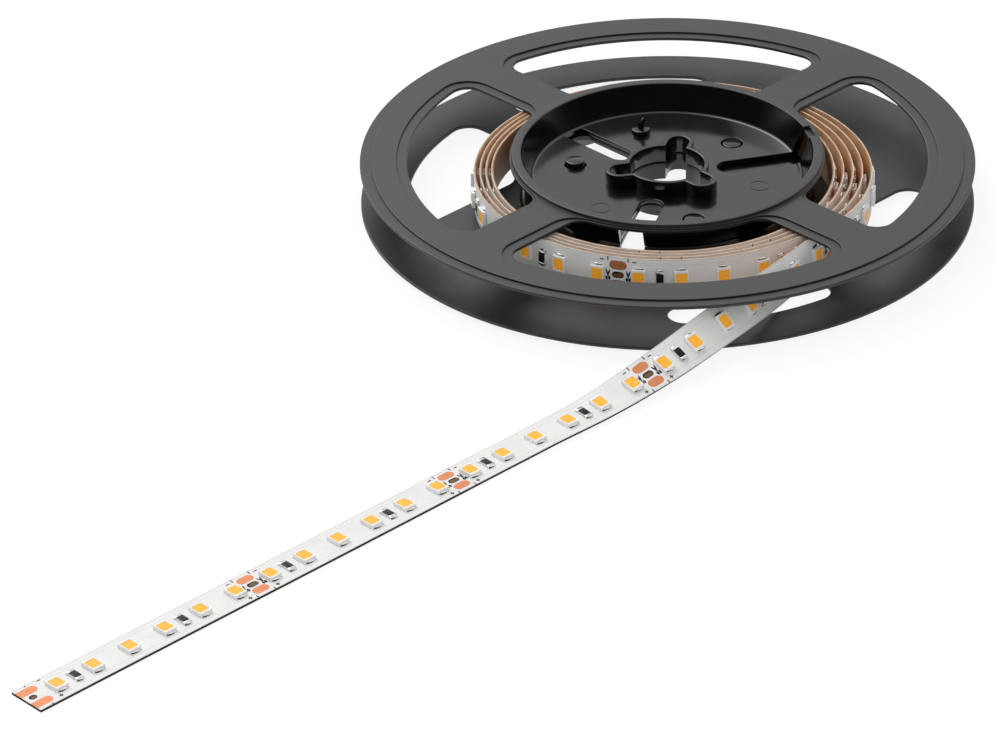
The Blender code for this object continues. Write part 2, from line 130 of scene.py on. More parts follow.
class StripRoute:
    def __init__(self, points):
        self.points = points
        self.along = [0.0]
        for a, b in zip(points, points[1:]):
            self.along.append(self.along[-1] + (b - a).length)
        self.length = self.along[-1]

    def place(self, s):
        low, high = 0, len(self.along) - 1
        while high - low > 1:
            mid = (low + high) // 2
            if self.along[mid] <= s:
                low = mid
            else:
                high = mid
        share = (s - self.along[low]) / (self.along[high] - self.along[low])
        return self.points[low].lerp(self.points[high], share)

    def axes(self, s):                     # the middle point, and the run, across and outward directions
        reach = route["tangentReach"]
        point = self.place(s)
        run = (self.place(min(s + reach, self.length)) - self.place(max(s - reach, 0.0))).normalized()
        left = Vector((0, 0, 1)).cross(run).normalized()
        rise = run.cross(left)
        start, end = route["twist"]
        share = min(max((s - start) / (end - start), 0.0), 1.0)
        turn = pi / 2 * share * share * (3 - 2 * share)
        return point, run, left * cos(turn) + rise * sin(turn), rise * cos(turn) - left * sin(turn)

    def on(self, s, w, lift):              # a point over the strip's printed face
        point, run, across, outward = self.axes(s)
        return (point + across * w + outward * (strip["thickness"] / 2 + lift)) * mm

    def joinPlace(self):                   # where the free run passes between the flanges
        for point, s in zip(self.points, self.along):
            if hypot(point.x, point.y) <= route["joinRadius"]:
                return s


line = StripRoute(routePoints())
join = line.joinPlace()
print(f"strip {line.length:.1f} mm long, {join:.1f} mm of it free")

# Materials: each has a fine bump of its own grain size and a slow drift of colour, some of gloss too
noise = {"fineDetail": 3.0, "fineRoughness": 0.6, "slowDetail": 2.0,
         "colourSpan": (0.35, 0.65), "glossSpan": (0.3, 0.7)}


def srgb(text):                            # an sRGB hex colour as a linear one
    parts = [int(text[i:i + 2], 16) / 255 for i in (1, 3, 5)]
    return [c / 12.92 if c <= 0.04045 else ((c + 0.055) / 1.055) ** 2.4 for c in parts] + [1.0]


def addNode(tree, kind, values=None, links=None, **settings):
    node = tree.nodes.new(kind)
    for key, value in settings.items():
        setattr(node, key, value)
    for key, value in (values or {}).items():
        node.inputs[key].default_value = value
    for key, source in (links or {}).items():
        tree.links.new(source, node.inputs[key])
    return node


def newMaterial(name, rough, metal=0.0, ior=1.5, specular=0.5):
    mat = bpy.data.materials.new(name)
    mat.use_nodes = True
    sockets = mat.node_tree.nodes["Principled BSDF"].inputs
    sockets["Roughness"].default_value = rough
    sockets["Metallic"].default_value = metal
    sockets["Specular IOR Level"].default_value = specular
    if not metal:
        sockets["IOR"].default_value = ior
    return mat


def grain(mat, size, depth, slow, colours, roughs=None):
    # size is the grain's and slow the drift's, both in millimetres
    tree = mat.node_tree
    shader = tree.nodes["Principled BSDF"]
    place = addNode(tree, "ShaderNodeTexCoord").outputs["Object"]
    fine = addNode(tree, "ShaderNodeTexNoise", {"Scale": 1 / (size * mm), "Detail": noise["fineDetail"],
                                                "Roughness": noise["fineRoughness"]}, {"Vector": place})
    bump = addNode(tree, "ShaderNodeBump", {"Strength": 1.0, "Distance": depth * mm},
                   {"Height": fine.outputs["Fac"]})
    tree.links.new(bump.outputs["Normal"], shader.inputs["Normal"])
    drift = addNode(tree, "ShaderNodeTexNoise", {"Scale": 1 / (slow * mm), "Detail": noise["slowDetail"]},
                    {"Vector": place})
    ramp = addNode(tree, "ShaderNodeValToRGB", links={"Fac": drift.outputs["Fac"]})
    for element, position, colour in zip(ramp.color_ramp.elements, noise["colourSpan"], colours):
        element.position = position
        element.color = srgb(colour)
    tree.links.new(ramp.outputs["Color"], shader.inputs["Base Color"])
    if roughs:
        low, high = noise["glossSpan"]
        reach = addNode(tree, "ShaderNodeMapRange", {"From Min": low, "From Max": high, "To Min": roughs[0],
                                                     "To Max": roughs[1]}, {"Value": drift.outputs["Fac"]})
        tree.links.new(reach.outputs["Result"], shader.inputs["Roughness"])
    return mat


# High-impact polystyrene from a spark-eroded mould: a dull grey sheen under soft light
satinStyrene = grain(newMaterial("satinMouldedPolystyrene", 0.5, ior=1.59), 0.3, 0.006, 9.0,
                     ("#111314", "#171919"), (0.40, 0.50))
# The same from a polished tool, in the dish and on the drum: dark, with clear soft reflections
glossStyrene = grain(newMaterial("glossMouldedPolystyrene", 0.25, ior=1.59), 2.2, 0.006, 7.0,
                     ("#060809", "#0a0c0d"), (0.12, 0.19))
# White solder mask on a flexible board: bright, half dull
solderMask = grain(newMaterial("whiteSolderMask", 0.45), 0.22, 0.003, 5.0,
                   ("#e6e6e3", "#edecea"), (0.4, 0.52))
# The same mask steps down between copper tracks and at the board's edge, drawn as a bump; the thin grey lines
# there are painted shade
tracks = {"edge": 3.82, "gap": (2.62, 2.8), "blur": 0.05, "step": 0.014, "strength": 0.6,
          "gapPaintedShade": "#e0e0dd", "edgePaintedShade": "#c8c8c4"}


def drawTracks(mat):
    tree = mat.node_tree
    shader = tree.nodes["Principled BSDF"]
    place = addNode(tree, "ShaderNodeUVMap", uv_map="alongStrip").outputs["UV"]
    side = addNode(tree, "ShaderNodeSeparateXYZ", links={"Vector": place}).outputs["Y"]
    away = addNode(tree, "ShaderNodeMath", links={0: side}, operation="ABSOLUTE").outputs[0]

    def beyond(width):
        low, high = (width - tracks["blur"]) * mm, (width + tracks["blur"]) * mm
        reach = addNode(tree, "ShaderNodeMapRange", {"From Min": low, "From Max": high}, {"Value": away},
                        interpolation_type="SMOOTHSTEP")
        return reach.outputs["Result"]

    gapStart, gapEnd = tracks["gap"]
    gap = addNode(tree, "ShaderNodeMath", links={0: beyond(gapStart), 1: beyond(gapEnd)},
                  operation="SUBTRACT").outputs[0]
    edge = beyond(tracks["edge"])
    low = addNode(tree, "ShaderNodeMath", links={0: gap, 1: edge}, operation="MAXIMUM").outputs[0]
    # painted shade: grey lines mixed into the mask's colour over the gaps and along both edges of the board
    colour = shader.inputs["Base Color"].links[0].from_socket
    for part, shade in ((gap, "gapPaintedShade"), (edge, "edgePaintedShade")):
        mix = addNode(tree, "ShaderNodeMix", {"B": srgb(tracks[shade])}, {"Factor": part, "A": colour},
                      data_type="RGBA")
        colour = mix.outputs["Result"]
    tree.links.new(colour, shader.inputs["Base Color"])
    step = addNode(tree, "ShaderNodeBump", {"Strength": tracks["strength"], "Distance": -tracks["step"] * mm},
                   {"Height": low, "Normal": shader.inputs["Normal"].links[0].from_socket})
    tree.links.new(step.outputs["Normal"], shader.inputs["Normal"])


drawTracks(solderMask)
# Mask lifted round an opening: a thin bluish-white line
maskRim = grain(newMaterial("solderMaskRim", 0.4), 0.15, 0.002, 2.0, ("#e6edf2", "#eef3f6"))
# Cut edge of the coated film: a thin pale line on each turn
filmEdge = grain(newMaterial("coatedFilmEdge", 0.55), 0.12, 0.004, 2.0, ("#d9c4b3", "#efe3d8"))
# Cut edge of tape and release paper: a thin tan line beside it
paperEdge = grain(newMaterial("releasePaperEdge", 0.6), 0.12, 0.004, 2.5, ("#94704f", "#b98f69"))
# Edge of the adhesive tape: dark brown, painted nearly black as shade on the strip's side that faces the
# front on the free run and down on the turns, on its cut ends and on the walls of the holes
tapeEdgeAndPaintedShade = grain(newMaterial("adhesiveTapeEdgeAndPaintedShade", 0.6, specular=0.2), 0.12, 0.004, 9.0, ("#1d1209", "#33220f"))
# Glassine release paper over the glue: brown, slightly waxy
linerPaper = grain(newMaterial("releasePaper", 0.5), 0.35, 0.004, 4.0, ("#c08f66", "#d6a47a"), (0.42, 0.55))
# Bare copper foil under a film of preservative: pink-orange, half dull
copperPad = grain(newMaterial("coatedCopperFoil", 0.5, metal=0.6), 0.2, 0.003, 1.2, ("#c87d53", "#d1885e"),
                  (0.45, 0.58))
# Reflow-soldered tin: a bright skin with dark reflections
tinSolder = grain(newMaterial("reflowedTin", 0.2, metal=1.0), 0.5, 0.01, 0.8,
                  ("#d2d2d0", "#e2e2e0"), (0.08, 0.16))
# White polyamide of the LED package: smooth and slightly shiny
ledHousing = grain(newMaterial("whitePolyamide", 0.35, ior=1.53), 0.1, 0.001, 1.5, ("#eeeff0", "#f4f5f6"))
# Silicone filled with phosphor powder: warm yellow. A steady orange emission stands in for its slight
# fluorescence; it glows the same in shade, so it is painted glow that keeps the shaded side deep orange
phosphor = grain(newMaterial("phosphorSilicone", 0.45, ior=1.41), 0.06, 0.002, 0.7, ("#efb234", "#f6bd40"))
# painted glow: an orange emission that does not depend on the light falling on the phosphor
fluorescenceAndPaintedGlow = {"colour": "#ff8f00", "strength": 0.17}
phosphorSockets = phosphor.node_tree.nodes["Principled BSDF"].inputs
phosphorSockets["Emission Color"].default_value = srgb(fluorescenceAndPaintedGlow["colour"])
phosphorSockets["Emission Strength"].default_value = fluorescenceAndPaintedGlow["strength"]
# Ruthenium paste under black glaze, on white alumina: a dark chip with pale sides
resistorGlaze = grain(newMaterial("blackGlassGlaze", 0.3, specular=0.2), 0.3, 0.002, 0.6,
                      ("#0c0c0d", "#171718"))
alumina = grain(newMaterial("whiteAlumina", 0.5), 0.08, 0.002, 0.8, ("#dcdcd8", "#e9e9e6"))
# Screen ink, flat and nearly black
markInk = grain(newMaterial("blackScreenInk", 0.6), 0.08, 0.001, 1.0, ("#141414", "#202020"))
# The tape seen through a hole in the board: dull brown
holeTape = grain(newMaterial("tapeInHole", 0.6), 0.15, 0.004, 0.9, ("#5d3a17", "#74502a"))
print("materials ready")

# Shared shaping
sharpAngle = 40.0


def finishMesh(name, bm, materials):
    mesh = bpy.data.meshes.new(name)
    bm.to_mesh(mesh)
    bm.free()
    for mat in materials:
        mesh.materials.append(mat)
    obj = bpy.data.objects.new(name, mesh)
    scene.collection.objects.link(obj)
    mesh.set_sharp_from_angle(angle=radians(sharpAngle))
    return obj


def arc(centre, radius, start, end, step):
    count = max(1, ceil(abs(end - start) / step))
    angles = [radians(start + (end - start) * i / count) for i in range(count + 1)]
    return [(centre[0] + radius * cos(a), centre[1] + radius * sin(a)) for a in angles]


def circle(centre, radius, step):
    return arc(centre, radius, 0, 360 - step, step)


def turned(points, angle):
    c, s = cos(radians(angle)), sin(radians(angle))
    return [(c * x - s * y, s * x + c * y) for x, y in points]


def plate(outlines, bottom, top, edge):
    # a flat moulding with rounded edges: the first outline less the others
    curve = bpy.data.curves.new("plate", "CURVE")
    curve.dimensions = "2D"
    curve.fill_mode = "BOTH"
    curve.extrude = ((top - bottom) / 2 - edge) * mm
    curve.bevel_depth = edge * mm
    curve.offset = -edge * mm
    curve.bevel_resolution = 2
    for outline in outlines:
        spline = curve.splines.new("POLY")
        spline.points.add(len(outline) - 1)
        for point, (x, y) in zip(spline.points, outline):
            point.co = (x * mm, y * mm, 0, 1)
        spline.use_cyclic_u = True
    flat = bpy.data.objects.new("plate", curve)
    scene.collection.objects.link(flat)
    mesh = bpy.data.meshes.new_from_object(flat.evaluated_get(bpy.context.evaluated_depsgraph_get()))
    mesh.transform(Matrix.Translation((0, 0, (bottom + top) / 2 * mm)))
    bpy.data.objects.remove(flat)
    return mesh


def meshFrom(bm, name):
    mesh = bpy.data.meshes.new(name)
    bm.to_mesh(mesh)
    bm.free()
    return mesh


def spin(profile, steps, centre=(0, 0)):
    # a profile of (radius, height) turned about an upright axis; it is closed, or starts and ends on the axis
    bm = bmesh.new()
    rings = []
    around = [(cos(2 * pi * k / steps), sin(2 * pi * k / steps)) for k in range(steps)]
    for r, z in profile:
        if r == 0:
            rings.append([bm.verts.new((centre[0] * mm, centre[1] * mm, z * mm))] * steps)
            continue
        rings.append([bm.verts.new(((centre[0] + r * c) * mm, (centre[1] + r * s) * mm, z * mm))
                      for c, s in around])
    closed = profile[0][0] > 0 and profile[-1][0] > 0
    for i in range(len(rings) if closed else len(rings) - 1):
        a, b = rings[i], rings[(i + 1) % len(rings)]
        for k in range(steps):
            n = (k + 1) % steps
            corners = list(dict.fromkeys((a[k], b[k], b[n], a[n])))
            bm.faces.new(corners).smooth = True
    bmesh.ops.recalc_face_normals(bm, faces=bm.faces)
    return meshFrom(bm, "turning")


cutting = {"edge": 0.01, "weld": 0.001}


def cutAway(mesh, cuts):
    # cuts upright slots out of a mesh: each is (outline, bottom, top)
    obj = bpy.data.objects.new("cutting", mesh)
    scene.collection.objects.link(obj)
    tools = []
    for outline, bottom, top in cuts:
        tool = bpy.data.objects.new("slotTool", plate([outline], bottom, top, cutting["edge"]))
        scene.collection.objects.link(tool)
        weld = bmesh.new()                 # a curve's caps and sides come unjoined
        weld.from_mesh(tool.data)
        bmesh.ops.remove_doubles(weld, verts=weld.verts, dist=cutting["weld"] * mm)
        weld.to_mesh(tool.data)
        weld.free()
        mod = obj.modifiers.new("cut", "BOOLEAN")
        mod.operation = "DIFFERENCE"
        mod.solver = "EXACT"
        mod.object = tool
        tools.append(tool)
    result = bpy.data.meshes.new_from_object(obj.evaluated_get(bpy.context.evaluated_depsgraph_get()))
    for used in [obj] + tools:
        bpy.data.objects.remove(used)
    return result


def turnOver(bm, height):
    # a half is turned over about the reel's middle height
    for vert in bm.verts:
        vert.co.z = height * mm - vert.co.z
    bmesh.ops.reverse_faces(bm, faces=bm.faces)


# The reel: both halves are built face up, and the lower one is then turned over
reel = {
    "radius": 62.5, "height": 12.0, "webTop": 11.25, "webUnder": 10.2, "lipTop": 10.9, "webSink": 0.4,
    "ringStart": 60.2, "edge": 0.2, "webEdge": 0.16, "floorRound": 0.12,
    "fineStep": 2.0, "boreStep": 3.0, "cornerStep": 7.0, "endStep": 9.0, "holeStep": 10.0, "wallSteps": 192,
    "rimOuter": 31.7, "mouth": 29.7, "floorEdge": 27.7, "wall": 1.2, "footRadius": 0.6, "lipRadius": 0.25,
    "footAngles": (8, 25, 42, 59, 74), "footRise": 0.02,
    "rimFoot": ((0.02, 0.2), (0.07, 0.08), (0.19, -0.02)),     # outside the rim, above the web's top
    "lipInAngles": (12, 35, 58, 82, 90), "lipOutAngles": (0, 20, 45, 70, 90),
    "rimBand": 0.3,                        # the wall is satin from here under the web's top upwards
    "seam": 0.1,                           # how far shapes that join run into each other
    "spokeAngle": 44.2, "spokeHalf": 3.6, "lip": 2.1, "windowOuter": 52.9, "corner": 3.6,
    "windowGap": 0.4, "recessGap": 0.2,    # from the hub rim to a window, and to the recess round it
    "bridgeRear": 26.5, "bridgeFront": 33.0,
    "bore": 7.6, "boreClear": 0.35, "lobeReach": 12.0, "lobeWidth": 4.3, "lobeAngle": 73.7,
    "collarWall": 0.9, "collarRise": 2.8,
    "slotAngle": 13.7, "slotWidth": 5.0, "slotStart": 10.7, "wallSlots": (0, 2), "lowerWallSlots": (2,),
    "closedSlot": 1, "closedEnds": (27.3, 26.5),               # in the upper half, in the lower half
    "slotPast": 3.0, "slotUnderWeb": 0.3, "cutClear": 1.0,     # how far the cuts reach past the wall
    "notchedSlot": 0, "notchWidth": 4.4, "notchDepth": 1.2, "notchStart": 22.0, "notchUnderWeb": 0.6,
    "pinCircle": 19.3, "pinAngle": 44.0, "pinRadius": 1.95, "pinRise": 1.1, "pinFlush": 0.02, "pinClear": 0.3,
    "pinRoot": 0.3, "pinEdge": 0.22, "pinSteps": 36,
    "witness": (0.16, 0.1, 0.05, 0.07),    # half foot, half crest, sink and rise of a ring round a pin
    "upperFloor": (6.25, 5.3), "lowerFloor": (7.95, 7.0),      # both as the upper half lies
}
peg = {"rise": 2.3, "radius": 0.72, "taper": 0.22, "tipRound": 0.12,
       "lean": 0.75, "sideLean": 0.25, "tilt": 38.0, "rings": 8, "sides": 14}


def windowOutline(sideX, sideY, inner, outer, corner):
    def onCircle(radius, known):
        return sqrt(radius * radius - known * known)

    def angleOf(point):
        return degrees(atan2(point[1], point[0]))

    fine, coarse = reel["fineStep"], reel["cornerStep"]
    first = (onCircle(outer - corner, sideY + corner), sideY + corner)
    second = (sideX + corner, onCircle(outer - corner, sideX + corner))
    turn1, turn2 = angleOf(first), angleOf(second)
    points = arc(first, corner, -90, turn1, coarse)
    points += arc((0, 0), outer, turn1, turn2, fine)[1:-1]
    points += arc(second, corner, turn2, 180, coarse)
    if hypot(sideX + corner, sideY + corner) >= inner + corner:
        return points + arc((sideX + corner, sideY + corner), corner, 180, 270, coarse)
    third = (sideX + corner, onCircle(inner + corner, sideX + corner))
    fourth = (onCircle(inner + corner, sideY + corner), sideY + corner)
    turn3, turn4 = angleOf(third), angleOf(fourth)
    points += arc(third, corner, 180, turn3 + 180, coarse)
    points += arc((0, 0), inner, turn3, turn4, fine)[1:-1]
    return points + arc(fourth, corner, turn4 + 180, 270, coarse)


def windowSides(lower):
    for i in range(4):
        sideX = sideY = reel["spokeHalf"]
        if lower:                          # the lower flange has a broad bridge across it
            bridge = reel["bridgeRear" if i < 2 else "bridgeFront"] - reel["lip"]
            sideX, sideY = (sideX, bridge) if i % 2 == 0 else (bridge, sideY)
        yield reel["spokeAngle"] + 90 * i, sideX, sideY


def keyedOutline(spare):
    # the three-lobed bore, made larger by that much all round
    radius, half = reel["bore"] + spare, reel["lobeWidth"] / 2 + spare
    edge = degrees(asin(half / radius))
    points = []
    for i in range(3):
        lobe = arc((0, 0), radius, edge - 120, -edge, reel["boreStep"])
        lobe += arc((reel["lobeReach"] + spare - half, 0), half, -90, 90, reel["endStep"])
        points += turned(lobe, reel["lobeAngle"] + 120 * i)
    return points


def slotOutline(end, angle, rounded=False):
    half = reel["slotWidth"] / 2
    points = [(end, -half), (end, half)]
    if rounded:
        points = arc((end - half, 0), half, -90, 90, reel["endStep"])
    points += arc((reel["slotStart"] + half, 0), half, 90, 270, reel["endStep"])
    return turned(points, angle)


def floorOutline(radius, openSlots):
    # the hub floor's edge, with its open slots running in from it
    half = reel["slotWidth"] / 2
    edge = degrees(asin(half / radius))
    fine = reel["fineStep"]
    points = []
    for i in range(3):
        sector = []
        if i in openSlots:
            sector += arc((reel["slotStart"] + half, 0), half, 270, 90, reel["endStep"])
        else:
            sector += arc((0, 0), radius, -edge, edge, fine)[:-1]
        sector += arc((0, 0), radius, edge, 120 - edge, fine)
        if (i + 1) % 3 not in openSlots:
            sector = sector[:-1]
        points += turned(sector, reel["slotAngle"] + 120 * i)
    return points


def pinPlace(i):
    a = radians(reel["pinAngle"] + 60 * i)
    return reel["pinCircle"] * cos(a), reel["pinCircle"] * sin(a)


def wallProfile(floorTop, floorUnder):
    # from the hub floor up the inside, over the rim and down the drum, with each edge rounded;
    # the small offsets on the inner and outer ends keep corners inside the floor and the web
    top, web, mouth, floor = reel["height"], reel["webTop"], reel["mouth"], reel["floorEdge"]
    slope = (mouth - floor) / (top - floorTop)
    rim, under, foot, lip = reel["rimOuter"], reel["webUnder"], reel["footRadius"], reel["lipRadius"]
    drum = mouth - slope * (top - under) + reel["wall"]
    drumFoot = floor + reel["wall"] - slope * (floorTop - floorUnder)
    fillet = [(floor - foot + foot * sin(a), floorTop + foot + reel["footRise"] - foot * cos(a))
              for a in map(radians, reel["footAngles"])]
    lipIn = [(mouth + lip - lip * cos(a), top - lip + lip * sin(a))
             for a in map(radians, reel["lipInAngles"])]
    lipOut = [(rim - lip + lip * sin(a), top - lip + lip * cos(a))
              for a in map(radians, reel["lipOutAngles"])]
    rimFoot = [(rim + x, web + z) for x, z in reel["rimFoot"]]
    inside = [(floor - 0.5, floorUnder + 0.12), (floor - 0.5, floorTop - 0.05)]
    outside = [(rim, web - 0.4), (drum + 0.2, under + 0.2), (drum, under - 0.12),
               (drumFoot, floorUnder + 0.1), (drumFoot - 0.1, floorUnder)]
    return inside + fillet + lipIn + lipOut + rimFoot + outside


def pinHead(centre, bottom, top):
    radius, e = reel["pinRadius"], reel["pinEdge"]
    return spin([(0, bottom), (radius, bottom), (radius, top - e), (radius - e * 0.3, top - e * 0.3),
                 (radius - e, top), (0, top)], reel["pinSteps"], centre)


def witnessRing(centre, level):
    foot, crest, sink, rise = reel["witness"]
    r = reel["pinRadius"]
    return spin([(r - foot, level - sink), (r - crest, level + rise), (r + crest, level + rise),
                 (r + foot, level - sink)], reel["pinSteps"], centre)


def bentPeg(centre, base):
    # a short gate peg, cut off and pushed over
    bm = bmesh.new()
    rings = []
    sides, last = peg["sides"], peg["rings"]
    for k in range(last + 1):
        t = k / last
        lean = peg["lean"] * t * t
        r = peg["radius"] - peg["taper"] * t - (peg["tipRound"] if k == last else 0.0)
        height = base + (peg["rise"] - reel["seam"]) * t
        mid = Vector((centre[0] + lean, centre[1] + peg["sideLean"] * lean, height))
        tilt = radians(peg["tilt"]) * t
        ring = []
        for n in range(sides):
            a = 2 * pi * n / sides
            off = Vector((r * cos(a) * cos(tilt), r * sin(a), -r * cos(a) * sin(tilt)))
            ring.append(bm.verts.new((mid + off) * mm))
        rings.append(ring)
    for a, b in zip(rings, rings[1:]):
        for n in range(sides):
            m = (n + 1) % sides
            bm.faces.new((a[n], a[m], b[m], b[n])).smooth = True
    bm.faces.new(rings[-1])
    return meshFrom(bm, "peg")


def pins(lower, floorTop, floorUnder):
    height = reel["height"]
    upperTop, upperUnder = reel["upperFloor"]
    made = []
    for i in range(6):
        centre = pinPlace(i)
        if lower and i % 2 == 0:           # through the upper floor, given as this half lies
            bm = bmesh.new()
            head = upperTop + reel["pinRise" if i == 2 else "pinFlush"]
            bm.from_mesh(pinHead(centre, height - floorTop + reel["pinRoot"], head))
            turnOver(bm, height)
            made.append(meshFrom(bm, "pin"))
        if not lower and i % 2:            # down through the lower floor
            tip = height - reel["lowerFloor"][0]
            made.append(pinHead(centre, tip, upperUnder + reel["pinRoot"]))
            if i == 1:
                boss = upperTop + reel["pinRise"]
                made.append(pinHead(centre, upperUnder + reel["pinRoot"] + reel["seam"], boss))
                made.append(bentPeg(centre, boss - reel["seam"]))
            else:                          # a faint ring where the pin is moulded on
                made.append(witnessRing(centre, upperTop))
    return made


def flangePlates(lower):
    outer, lip, corner, seam = reel["windowOuter"], reel["lip"], reel["corner"], reel["seam"]
    windows, recesses = [], []
    for angle, x, y in windowSides(lower):
        window = windowOutline(x + lip, y + lip, reel["rimOuter"] + reel["windowGap"], outer, corner)
        recess = windowOutline(x, y, reel["rimOuter"] + reel["recessGap"], outer + lip, corner + lip)
        windows.append(turned(window, angle))
        recesses.append(turned(recess, angle))
    hub, disc, raised = [circle((0, 0), radius, reel["fineStep"]) for radius in
                         (reel["mouth"] + seam, reel["radius"], reel["ringStart"])]
    return [plate([disc, hub] + windows, reel["webUnder"], reel["lipTop"], reel["edge"]),
            plate([raised, hub] + recesses, reel["lipTop"] - reel["webSink"], reel["webTop"],
                  reel["webEdge"])]


def hubWall(floorTop, floorUnder, openSlots):
    cuts = [(slotOutline(reel["rimOuter"] + reel["slotPast"], reel["slotAngle"] + 120 * i),
             floorUnder - reel["cutClear"], reel["webUnder"] - reel["slotUnderWeb"]) for i in openSlots]
    half, start, end = reel["notchWidth"] / 2, reel["notchStart"], reel["mouth"] + reel["notchDepth"]
    notch = turned([(start, -half), (end, -half), (end, half), (start, half)],
                   reel["slotAngle"] + 120 * reel["notchedSlot"])
    cuts.append((notch, reel["webUnder"] - reel["notchUnderWeb"], reel["height"] + reel["cutClear"]))
    return cutAway(spin(wallProfile(floorTop, floorUnder), reel["wallSteps"]), cuts)


def hubPlates(lower, floorTop, floorUnder, openSlots):
    # each half has three pins of its own and holes for the other half's three
    own = (0, 2, 4) if lower else (1, 3, 5)
    holeRadius = reel["pinRadius"] + reel["pinClear"]
    pinHoles = [circle(pinPlace(i), holeRadius, reel["holeStep"]) for i in range(6) if i not in own]
    closedSlot = slotOutline(reel["closedEnds"][lower], reel["slotAngle"] + 120 * reel["closedSlot"], lower)
    floor = floorOutline(reel["floorEdge"] + reel["seam"], openSlots)
    return [plate([floor, keyedOutline(reel["boreClear"]), closedSlot] + pinHoles, floorUnder, floorTop,
                  reel["floorRound"]),
            plate([keyedOutline(reel["collarWall"]), keyedOutline(0.0)], floorUnder,
                  floorTop + reel["collarRise"], reel["edge"])]


def reelHalf(name, node, lower):
    floorTop, floorUnder = reel["lowerFloor" if lower else "upperFloor"]
    openSlots = reel["lowerWallSlots" if lower else "wallSlots"]
    satin = flangePlates(lower)
    wall = hubWall(floorTop, floorUnder, openSlots)
    gloss = [wall] + hubPlates(lower, floorTop, floorUnder, openSlots) + pins(lower, floorTop, floorUnder)
    bm = bmesh.new()
    for index, meshes in enumerate((satin, gloss)):
        for mesh in meshes:
            first = len(bm.faces)
            bm.from_mesh(mesh)
            bm.faces.ensure_lookup_table()
            for face in bm.faces[first:]:
                high = face.calc_center_median().z > (reel["webTop"] - reel["rimBand"]) * mm
                face.material_index = 0 if mesh is wall and high else index
            bpy.data.meshes.remove(mesh)
    if lower:
        turnOver(bm, reel["height"])
    obj = finishMesh(name, bm, [satinStyrene, glossStyrene])
    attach(obj, "root")
    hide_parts(node)


reelHalf("upperReelHalf", "upper_reel_half", False)
reelHalf("lowerReelHalf", "lower_reel_half", True)
print("reel halves made")

# The board, its marks and resistors
board = {
    "pad": (3.6, 2.0), "padAt": 2.17, "rim": 0.2, "copperLift": 0.03, "rimLift": 0.015, "inkLift": 0.025,
    "hole": (2.45, 1.45), "holeRim": (0.4, 0.36), "holeRimLift": 0.0225, "holeTapeLift": 0.035,
    "holeSeen": (0.1, -0.14, 0.45),        # the tape in a hole: its offsets, and how much smaller it is
    "endPad": 4.1, "endHole": (1.62, 0.1, 1.65, 1.3), "endSeen": (1.72, -0.05, 1.15, 0.7),
    "filmShare": 0.35,                     # of the thickness
}
marks = {                                  # bars are (along, across, long, wide)
    "tickAt": 2.05, "ticks": ((3.5, 0.22, 0.95), (-3.6, 0.22, 0.75)),
    "signAt": 3.3, "minus": (3.15, 0.8, 0.24), "plus": (-3.1, 0.85, 0.24),
    "crossLift": 0.03, "loopLift": 0.0275, "bladeLifts": {1: 0.0275, -1: 0.0225},
    "roundAngles": (6, 18, 34, 52, 72, 90),
    "blade": ((-0.12, -0.55, -0.05), (0.1, -0.4, 0.65), (0.4, 0.45, 1.15)), "loop": (0.27, -0.9, 0.5, 0.85),
    "cutEnd": ((2.7, 3.75, 0.22, 0.45), (5.65, 3.5, 0.85, 0.24), (5.55, -2.9, 0.85, 0.24),
               (5.55, -2.9, 0.24, 0.85), (2.9, -3.75, 0.22, 0.45)),
}
boardMaterials = [solderMask, filmEdge, paperEdge, tapeEdgeAndPaintedShade, linerPaper, copperPad, maskRim, markInk,
                  holeTape, resistorGlaze, alumina, tinSolder]
slotOf = {mat: i for i, mat in enumerate(boardMaterials)}


def band(bm, stations, lift, mat):
    # a thin closed patch on the printed face: stations are (along, lowest, highest)
    rows = [[bm.verts.new(line.on(s, w, h)) for w, h in ((low, 0.0), (low, lift), (high, lift), (high, 0.0))]
            for s, low, high in stations]
    faces = [(a[i], b[i], b[(i + 1) % 4], a[(i + 1) % 4]) for a, b in zip(rows, rows[1:]) for i in range(4)]
    for corners in faces + [rows[0], rows[-1][::-1]]:
        bm.faces.new(corners).material_index = slotOf[mat]


def obround(s, w, long, wide, squareStart=False):
    half = wide / 2
    straight = long / 2 - half
    turns = [radians(k) for k in marks["roundAngles"]]
    ends = [(-cos(a) * half - straight, sin(a) * half) for a in turns]
    if squareStart:
        ends = [(-long / 2, half)]
    ends.append((0.0, half))
    ends += [(straight + cos(a) * half, sin(a) * half) for a in turns[::-1]]
    return [(s + x, w - y, w + y) for x, y in ends]


def bar(s, w, long, wide):
    return [(s - long / 2, w - wide / 2, w + wide / 2), (s + long / 2, w - wide / 2, w + wide / 2)]


